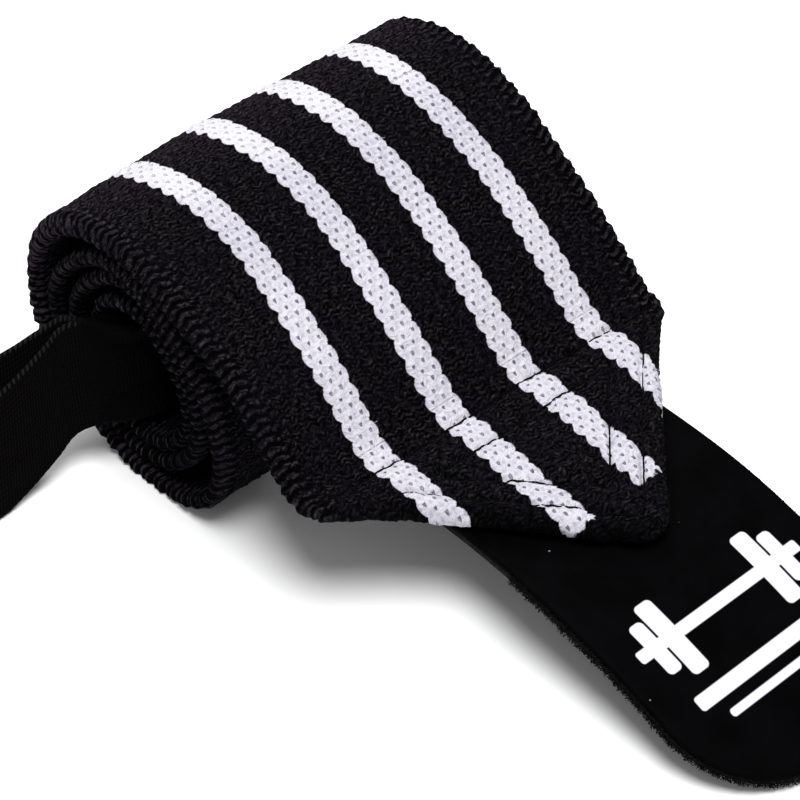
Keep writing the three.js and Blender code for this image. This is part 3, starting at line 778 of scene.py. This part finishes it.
def tube(points, radius, sides=6):
    """A round thread along points, closed at both ends, with its ring and length coordinates."""
    points = np.asarray(points, float)
    tangent = np.gradient(points, axis=0)
    tangent /= np.linalg.norm(tangent, axis=1)[:, None] + 1e-9
    up = np.tile([0.31, 0.17, 0.93], (len(points), 1))
    side = np.cross(tangent, up)
    side /= np.linalg.norm(side, axis=1)[:, None] + 1e-9
    other = np.cross(side, tangent)
    angle = np.linspace(0, 2 * math.pi, sides, endpoint=False)
    rings = (points[:, None] + radius * (np.cos(angle)[None, :, None] * side[:, None]
                                         + np.sin(angle)[None, :, None] * other[:, None]))
    faces = ring_faces(len(points), sides)
    last = (len(points) - 1) * sides
    ends = [(0, i, i + 1) for i in range(1, sides - 1)]
    ends += [(last, last + i + 1, last + i) for i in range(1, sides - 1)]
    length = np.concatenate([[0], np.cumsum(np.linalg.norm(np.diff(points, axis=0), axis=1))])
    uv = np.stack(np.broadcast_arrays(length[:, None], angle[None, :]), -1)
    return rings.reshape(-1, 3), faces, uv.reshape(-1, 2), np.array(ends)


def join_tubes(name, tubes):
    """Many threads as one mesh."""
    verts, faces, uvs, ends, start = [], [], [], [], 0
    for v, f, uv, end in tubes:
        verts.append(v)
        faces.append(f + start)
        uvs.append(uv)
        ends.append(end + start)
        start += len(v)
    verts, faces, uvs, ends = (np.concatenate(part) for part in (verts, faces, uvs, ends))
    return mesh_object(name, verts, faces, uvs, ends)


def along_line(line, spacing):
    """Evenly spaced places on a line through corners."""
    line = np.array(line, float)
    reach = np.concatenate([[0], np.cumsum(np.hypot(*np.diff(line, axis=0).T))])
    at = np.linspace(0, reach[-1], max(2, int(round(reach[-1] / spacing)) + 1))
    return np.interp(at, reach, line[:, 0]), np.interp(at, reach, line[:, 1])


def stitches():
    """The black sewing threads: one long stitch after another, each dipping in at its ends."""
    tubes = []
    for line in (ACROSS_LINE, OUTER_ROW, INNER_ROW):
        ends_s, ends_y = along_line(line, 3.0)
        for k in range(len(ends_s) - 1):
            t = np.linspace(0.0, 1.0, 9)
            s = ends_s[k] + (ends_s[k + 1] - ends_s[k]) * t
            y = ends_y[k] + (ends_y[k + 1] - ends_y[k]) * t
            depth = band_surface(s, y, False)[0]
            bow = np.sin(math.pi * t) * 0.2
            level = depth.mean() * 0.5 + depth * 0.5
            tubes.append(tube(on_band(s, y, level - bow), 0.17))
    return join_tubes("stitch_threads", tubes)


def fibres():
    """Loose ends of yarn standing off the knit, coloured as the cloth below them."""
    tubes = []
    for _ in range(FIBRES):
        s, side = rng.uniform(-100, TIP_END - 1), rng.integers(0, 3)
        low, high = edge_at(s, -1), edge_at(s, 1)
        y = (rng.uniform(low, high), low + rng.uniform(0, 1.2), high - rng.uniform(0, 1.2))[side]
        t = np.array([0.0, 0.4, 0.75, 1.0])
        heading, reach = rng.uniform(0, 2 * math.pi), rng.uniform(0.25, 0.9)
        bend = rng.uniform(-0.7, 0.7)
        angle = heading + bend * t
        along, across = s + reach * t * np.cos(angle), y + reach * t * np.sin(angle)
        depth, us, uy, out_s, out_y = band_surface(np.full(4, s), np.full(4, y), False)
        height = rng.uniform(0.1, 0.5) * np.sin(t * rng.uniform(1.2, 2.6))
        points = on_band(along + out_s, across + out_y, depth + 0.05 - height)
        verts, faces, uv, ends = tube(points, 0.022, 3)
        uv[:] = (us[0], uy[0])
        tubes.append((verts, faces, uv, ends))
    return join_tubes("loose_fibres", tubes)


def bristles():
    """Hooks of the tape along the tab's rim and just under its edge."""
    tubes = []
    path_s, path_y = [], []
    for side in (-1, 1):
        s = np.linspace(26 if side < 0 else 34, TAB_REACH - 0.05, HOOK_PLACES)
        half = tab_half(s)
        path_s.append(s)
        path_y.append(TAB_OFFSET + side * half)
    s, y = np.concatenate(path_s), np.concatenate(path_y)
    over = np.maximum(0, s - (TAB_REACH - TAB_CORNER))
    side = np.sign(y - TAB_OFFSET)
    ns = over / TAB_CORNER
    ny = side * np.sqrt(np.maximum(0, 1 - ns ** 2))
    for i in range(len(s)):
        for _ in range(HOOKS_A_PLACE):
            depth = HOOK_DEPTH + rng.uniform(-0.5, HOOK)
            reach = rng.uniform(0.15, 0.65)
            base_s = s[i] + rng.uniform(-0.15, 0.15)
            base_y = y[i] - ny[i] * 0.2
            t = np.array([0.0, 0.5, 0.85, 1.0])
            curl = np.array([0.0, 0.1, 0.35, 0.55]) * rng.uniform(-0.9, 0.9)
            dip = np.array([0.0, -0.02, 0.12, 0.3]) * rng.uniform(-1.0, 1.0)
            ps = base_s + ns[i] * reach * t - ny[i] * curl
            py = base_y + ny[i] * reach * t + ns[i] * curl
            points = on_band(np.minimum(ps, TAB_REACH), py, depth + dip)
            points[:, 0] += np.maximum(0, ps - TAB_REACH)
            points[:, 2] = np.maximum(points[:, 2], 0.1)
            tubes.append(tube(points, 0.075, 3))
    return join_tubes("hook_bristles", tubes)


def loop_read(column, out):
    return np.interp(out, LOOP_LIE[:, 0], LOOP_LIE[:, column])


def loop_middle(out):
    """The middle between the loop's two strands, out being the share of its reach past the band."""
    return np.array([-loop_read(1, out) * WEBBING_WIDTH, -BAND_WIDTH / 2 - out * LOOP_REACH,
                     ROLL_HEIGHT - loop_read(2, out) * WEBBING_WIDTH])


def loop_corner(out, gap, strand):
    """A corner of one strand, level with its fellow and a share of the loop's opening away from it."""
    along = loop_middle(out + 0.02) - loop_middle(out - 0.02)
    along[2] = 0
    along /= np.linalg.norm(along)
    across = np.array([-along[1], along[0], 0])
    return loop_middle(out) + across * strand * gap * LOOP_OPENING / 2


def centripetal(points, t):
    """A centripetal curve through points, t running evenly over the spans."""
    p = np.concatenate([[2 * points[0] - points[1]], points, [2 * points[-1] - points[-2]]])
    result = []
    for value in t:
        i = min(int(value), len(points) - 2)
        w = value - i
        a, b, c, d = p[i:i + 4]
        t0, t1, t2 = (max(np.linalg.norm(n - m) ** 0.5, 1e-4) for m, n in ((a, b), (b, c), (c, d)))
        m1 = ((b - a) / t0 - (c - a) / (t0 + t1) + (c - b) / t1) * t1
        m2 = ((c - b) / t1 - (d - b) / (t1 + t2) + (d - c) / t2) * t1
        result.append((2 * w**3 - 3 * w**2 + 1) * b + (w**3 - 2 * w**2 + w) * m1
                      + (3 * w**2 - 2 * w**3) * c + (w**3 - w**2) * m2)
    return np.array(result)


def thumb_loop():
    """The loop's webbing, out along one strand and back along the other, with its whole length."""
    corners, outs = [], []
    for out, gap in LOOP_OUTLINE:
        corners.append(loop_corner(out, gap, 1))
        outs.append(out)
    for out, gap in LOOP_OUTLINE[-2::-1]:
        corners.append(loop_corner(out, gap, -1))
        outs.append(out)
    corners = np.array(corners)
    spans = len(corners) - 1
    t = np.linspace(0, spans, 420)
    middle = centripetal(corners, t)
    out = through_values(outs, t)
    along = np.gradient(middle, axis=0)
    along /= np.linalg.norm(along, axis=1)[:, None]
    lean, tilt = np.radians(loop_read(3, out)), np.radians(loop_read(4, out))
    up = np.stack([-np.tan(lean), np.tan(tilt), np.ones_like(lean)], -1)
    up /= np.linalg.norm(up, axis=1)[:, None]
    facing = np.cross(along, up)
    facing /= np.linalg.norm(facing, axis=1)[:, None]
    cup = np.radians(np.maximum(loop_read(5, out), 1))
    share = np.linspace(-0.5, 0.5, 40)
    bead = 0.12 * np.exp(-((np.abs(share) - 0.475) / 0.018) ** 2)
    rounding = np.sqrt(np.clip(1 - ((np.abs(share) - 0.47) / 0.03).clip(0, 1) ** 2, 0.05, 1))
    half_thick = WEBBING / 2 * rounding + bead
    turn = cup[:, None] * share[None, :]
    rise = WEBBING_WIDTH * np.sin(turn) / cup[:, None]
    off = WEBBING_WIDTH * (1 - np.cos(turn)) / cup[:, None]
    sides = []
    length = np.concatenate([[0], np.cumsum(np.linalg.norm(np.diff(middle, axis=0), axis=1))])
    puff = 0.05 * np.sin(length[:, None] * 2 * math.pi / 1.24)
    for outward in (1, -1):
        thick = outward * (half_thick[None, :] + puff * (np.abs(share) > 0.46))
        p = (middle[:, None] + (rise - thick * np.sin(turn))[..., None] * up[:, None]
             + (off + thick * np.cos(turn))[..., None] * facing[:, None])
        sides.append(p)
    verts = np.concatenate([sides[0], sides[1][:, ::-1]], 1)
    lowest = verts[..., 2].min(axis=1)
    verts[..., 2] += np.maximum(0, 0.2 - lowest)[:, None]
    m = len(share)
    across = np.concatenate([share, share[::-1]]) * WEBBING_WIDTH
    uv = np.stack(np.broadcast_arrays(length[:, None], across[None, :]), -1)
    caps = np.concatenate([cap_faces(0, m, m), cap_faces(len(t) - 1, m, m)])
    quads = ring_faces(len(t), 2 * m)
    obj = mesh_object("thumb_loop_webbing", verts.reshape(-1, 3), quads, uv.reshape(-1, 2), caps)
    return obj, length[-1]


def camera():
    data = bpy.data.cameras.new("camera")
    data.sensor_width = 36
    data.lens = 36 * FOCAL_PIXELS / FRAME_PIXELS
    data.clip_start = 0.01
    obj = bpy.data.objects.new("camera", data)
    azimuth, elevation, distance = math.radians(47.1), math.radians(42.8), 0.4787
    target = Vector((0.0221, 0, 0.00764))
    level = math.cos(elevation)
    back = Vector((math.sin(azimuth) * level, -math.cos(azimuth) * level, math.sin(elevation)))
    obj.location = target + back * distance
    obj.rotation_euler = back.to_track_quat("Z", "Y").to_euler()
    bpy.context.scene.collection.objects.link(obj)
    bpy.context.scene.camera = obj


def area_light(name, place, target, size, power):
    data = bpy.data.lights.new(name, "AREA")
    data.shape = "DISK"
    data.size = size
    data.energy = power
    obj = bpy.data.objects.new(name, data)
    obj.location = place
    obj.rotation_euler = (Vector(place) - Vector(target)).to_track_quat("Z", "Y").to_euler()
    bpy.context.scene.collection.objects.link(obj)


def studio():
    """Soft light from above and behind, and a wide pale floor."""
    world = bpy.data.worlds.new("studio")
    bpy.context.scene.world = world
    world.use_nodes = True
    background = world.node_tree.nodes["Background"]
    background.inputs[0].default_value = (1, 1, 1, 1)
    background.inputs[1].default_value = 0.42
    bpy.context.scene.view_settings.view_transform = "Standard"
    area_light("key", (0.25, -0.15, 0.95), (0.03, 0, 0.02), 0.5, 10.2)
    area_light("back", (-0.5, 0.2, 0.6), (0, 0, 0.03), 0.4, 3.2)
    size = 4000.0
    corners = [(-size, -size, 0), (size, -size, 0), (size, size, 0), (-size, size, 0)]
    floor = mesh_object("floor", np.array(corners), [[0, 1, 2, 3]], np.array(corners)[:, :2])
    floor.location.z = -0.05 * MM
    g = Graph("floor")
    s, y = g.plane()
    grain = g.noise(g.vector(s, y), 0.05, 2)
    base = g.mix(g.step(grain, 0.3, 0.7), (0.93, 0.93, 0.935, 1), (0.95, 0.95, 0.95, 1))
    g.set(Base_Color=base, Roughness=0.9, Specular_IOR_Level=0.1)
    floor.data.materials.append(g.material)


def dress(obj, material):
    """Give a piece its material and body."""
    obj.data.materials.append(material)
    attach(obj, "root")
    return obj


camera()
studio()

# Lengths of the band, from its point back to its inner end: where each starts, how closely its rows
# and columns lie, its columns below, and how it lies.
LENGTHS = [
    ("band_point", -4.0, 0.33, 0.36, 1.1, "folded"),
    ("band_tail", -54.0, 0.38, 0.38, 1.5, "draped"),
    ("band_top", -132.0, 0.42, 0.4, 1.5, "draped"),
    ("band_under", -214.0, 0.5, 0.7, 1.5, "draped"),
    ("band_core", S_START, 0.55, 1.6, 2.0, "draped"),
]
knit = knit_material()
end = TIP_END
for name, start, step, across, below, held in LENGTHS:
    piece = dress(knit_piece(name, start, end, step, across, below), knit)
    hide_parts("elastic_band")
    end = start
dress(stitches(), thread_material())
dress(fibres(), knit)

rows = tab_rows()
half = tab_half(rows)
face = slab("tab_top", rows, TAB_OFFSET - half, TAB_OFFSET + half, FACE_DEPTH, FACE, 0.5)
dress(face, tab_material())
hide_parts("tab_face")
hook_paint = hook_material()
tape = slab("tab_hook_tape", rows, TAB_OFFSET - half + 0.1, TAB_OFFSET + half - 0.1,
            HOOK_DEPTH, HOOK, 0.5)
dress(tape, hook_paint)
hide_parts("tab_hook")
dress(bristles(), hook_paint)

loop, loop_length = thumb_loop()
dress(loop, webbing_material(loop_length))
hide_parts("thumb_loop")
